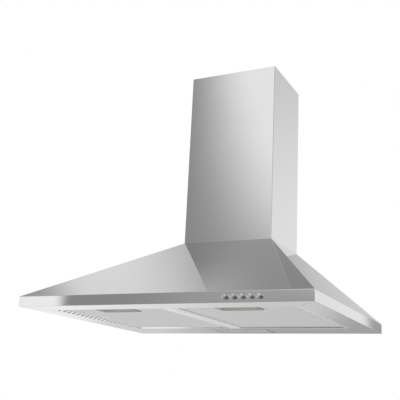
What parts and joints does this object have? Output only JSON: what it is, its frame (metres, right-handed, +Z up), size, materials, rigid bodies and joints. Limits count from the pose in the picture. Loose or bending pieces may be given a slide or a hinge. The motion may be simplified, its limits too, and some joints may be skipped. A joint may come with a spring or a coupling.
{
  "type": "wall mount range hood",
  "caption": "Pyramid wall hood of brushed steel with a telescopic chimney, swing-down mesh filters, push buttons, lamp, blower and a duct collar with dampers.",
  "frame": {"origin": "middle of the four wall fixing holes, on the wall plane", "axes": "+Z up, +Y into the wall, +X to the right for someone who faces the hood"},
  "size_m": [0.598, 0.488, 0.59],
  "materials": {
    "stainless": "fine brushed stainless sheet",
    "galvanised": "galvanised sheet",
    "filter_aluminium": "bright expanded mesh and frame",
    "handle_grey": "satin grey moulding",
    "button_chrome": "bright plated cap",
    "lens_frosted": "frosted diffuser",
    "bulb_glass": "frosted glass",
    "ceramic_white": "matt white",
    "blower_plastic": "matt black moulding",
    "impeller_plastic": "matt pale moulding",
    "motor_enamel": "dark enamel",
    "zinc_steel": "zinc plated",
    "rubber_black": "soft matt rubber",
    "cable_grey": "smooth sheath"
  },
  "bodies": {
    "hood": {"canopy_shell": "stainless", "rear_panel": "galvanised", "rear_rail": "stainless", "chimney_cover": "stainless", "chimney_wall_bracket": "galvanised", "lamp_lens": "lens_frosted", "lamp_housing": "galvanised", "lamp_holder": "ceramic_white", "lamp_bulb": "bulb_glass", "switch_bracket": "galvanised", "switch_housing": "blower_plastic", "blower_bracket": "galvanised", "blower_housing_front": "blower_plastic", "blower_housing_rear": "blower_plastic", "inlet_guard": "zinc_steel", "motor_body": "motor_enamel", "motor_grommets": "rubber_black", "capacitor": "ceramic_white", "duct_collar": "blower_plastic", "damper_pin": "zinc_steel", "terminal_box": "blower_plastic", "terminal_box_cover": "blower_plastic", "terminal_block": "ceramic_white", "cable_grommet": "rubber_black", "switch_harness": "cable_grey", "lamp_lead": "cable_grey", "motor_lead": "cable_grey", "harness_clips": "ceramic_white", "rail_screws": "zinc_steel", "bracket_screws": "zinc_steel", "chimney_screws": "zinc_steel", "housing_screws": "zinc_steel", "collar_screws": "zinc_steel"},
    "extension": {"chimney_extension": "stainless"},
    "fan": {"impeller": "impeller_plastic", "motor_shaft": "zinc_steel"},
    "damper_left": {"damper_flap_left": "blower_plastic"},
    "damper_right": {"damper_flap_right": "blower_plastic"},
    "filter_left": {"filter_frame_left": "filter_aluminium", "filter_face_left": "filter_aluminium", "filter_core_left": "filter_aluminium", "filter_back_left": "filter_aluminium", "handle_cup_left": "handle_grey", "latch_spring_left": "zinc_steel"},
    "latch_slide_left": {"latch_left": "handle_grey"},
    "filter_right": {"filter_frame_right": "filter_aluminium", "filter_face_right": "filter_aluminium", "filter_core_right": "filter_aluminium", "filter_back_right": "filter_aluminium", "handle_cup_right": "handle_grey", "latch_spring_right": "zinc_steel"},
    "latch_slide_right": {"latch_right": "handle_grey"},
    "push_1": {"button_1": "button_chrome"},
    "push_2": {"button_2": "button_chrome"},
    "push_3": {"button_3": "button_chrome"},
    "push_4": {"button_4": "button_chrome"},
    "push_5": {"button_5": "button_chrome"}
  },
  "joints": [
    {"name": "extension_slide", "type": "slide", "parent": "hood", "child": "extension", "axis": [0, 0, 1], "range_m": [0, 0.3]},
    {"name": "fan_spin", "type": "hinge", "parent": "hood", "child": "fan", "pos_m": [0, -0.085, 0.03], "axis": [0, 1, 0], "continuous": true},
    {"name": "damper_left_swing", "type": "hinge", "parent": "hood", "child": "damper_left", "pos_m": [0, -0.085, 0.183], "axis": [0, 1, 0], "range_deg": [0, 75]},
    {"name": "damper_right_swing", "type": "hinge", "parent": "hood", "child": "damper_right", "pos_m": [0, -0.085, 0.183], "axis": [0, -1, 0], "range_deg": [0, 75]},
    {"name": "filter_left_swing", "type": "hinge", "parent": "hood", "child": "filter_left", "pos_m": [0, -0.0995, -0.119], "axis": [1, 0, 0], "range_deg": [0, 75]},
    {"name": "latch_left_slide", "type": "slide", "parent": "filter_left", "child": "latch_slide_left", "axis": [0, -1, 0], "range_m": [0, 0.006], "deforming": ["latch_spring_left"]},
    {"name": "filter_right_swing", "type": "hinge", "parent": "hood", "child": "filter_right", "pos_m": [0, -0.0995, -0.119], "axis": [1, 0, 0], "range_deg": [0, 75]},
    {"name": "latch_right_slide", "type": "slide", "parent": "filter_right", "child": "latch_slide_right", "axis": [0, -1, 0], "range_m": [0, 0.006], "deforming": ["latch_spring_right"]},
    {"name": "push_1_travel", "type": "slide", "parent": "hood", "child": "push_1", "axis": [0, 1, 0], "range_m": [0, 0.003], "stiffness_N_per_m": 500, "springref_m": -0.001},
    {"name": "push_2_travel", "type": "slide", "parent": "hood", "child": "push_2", "axis": [0, 1, 0], "range_m": [0, 0.003], "stiffness_N_per_m": 500, "springref_m": -0.001},
    {"name": "push_3_travel", "type": "slide", "parent": "hood", "child": "push_3", "axis": [0, 1, 0], "range_m": [0, 0.003], "stiffness_N_per_m": 500, "springref_m": -0.001},
    {"name": "push_4_travel", "type": "slide", "parent": "hood", "child": "push_4", "axis": [0, 1, 0], "range_m": [0, 0.003], "stiffness_N_per_m": 500, "springref_m": -0.001},
    {"name": "push_5_travel", "type": "slide", "parent": "hood", "child": "push_5", "axis": [0, 1, 0], "range_m": [0, 0.003], "stiffness_N_per_m": 500, "springref_m": -0.001}
  ]
}
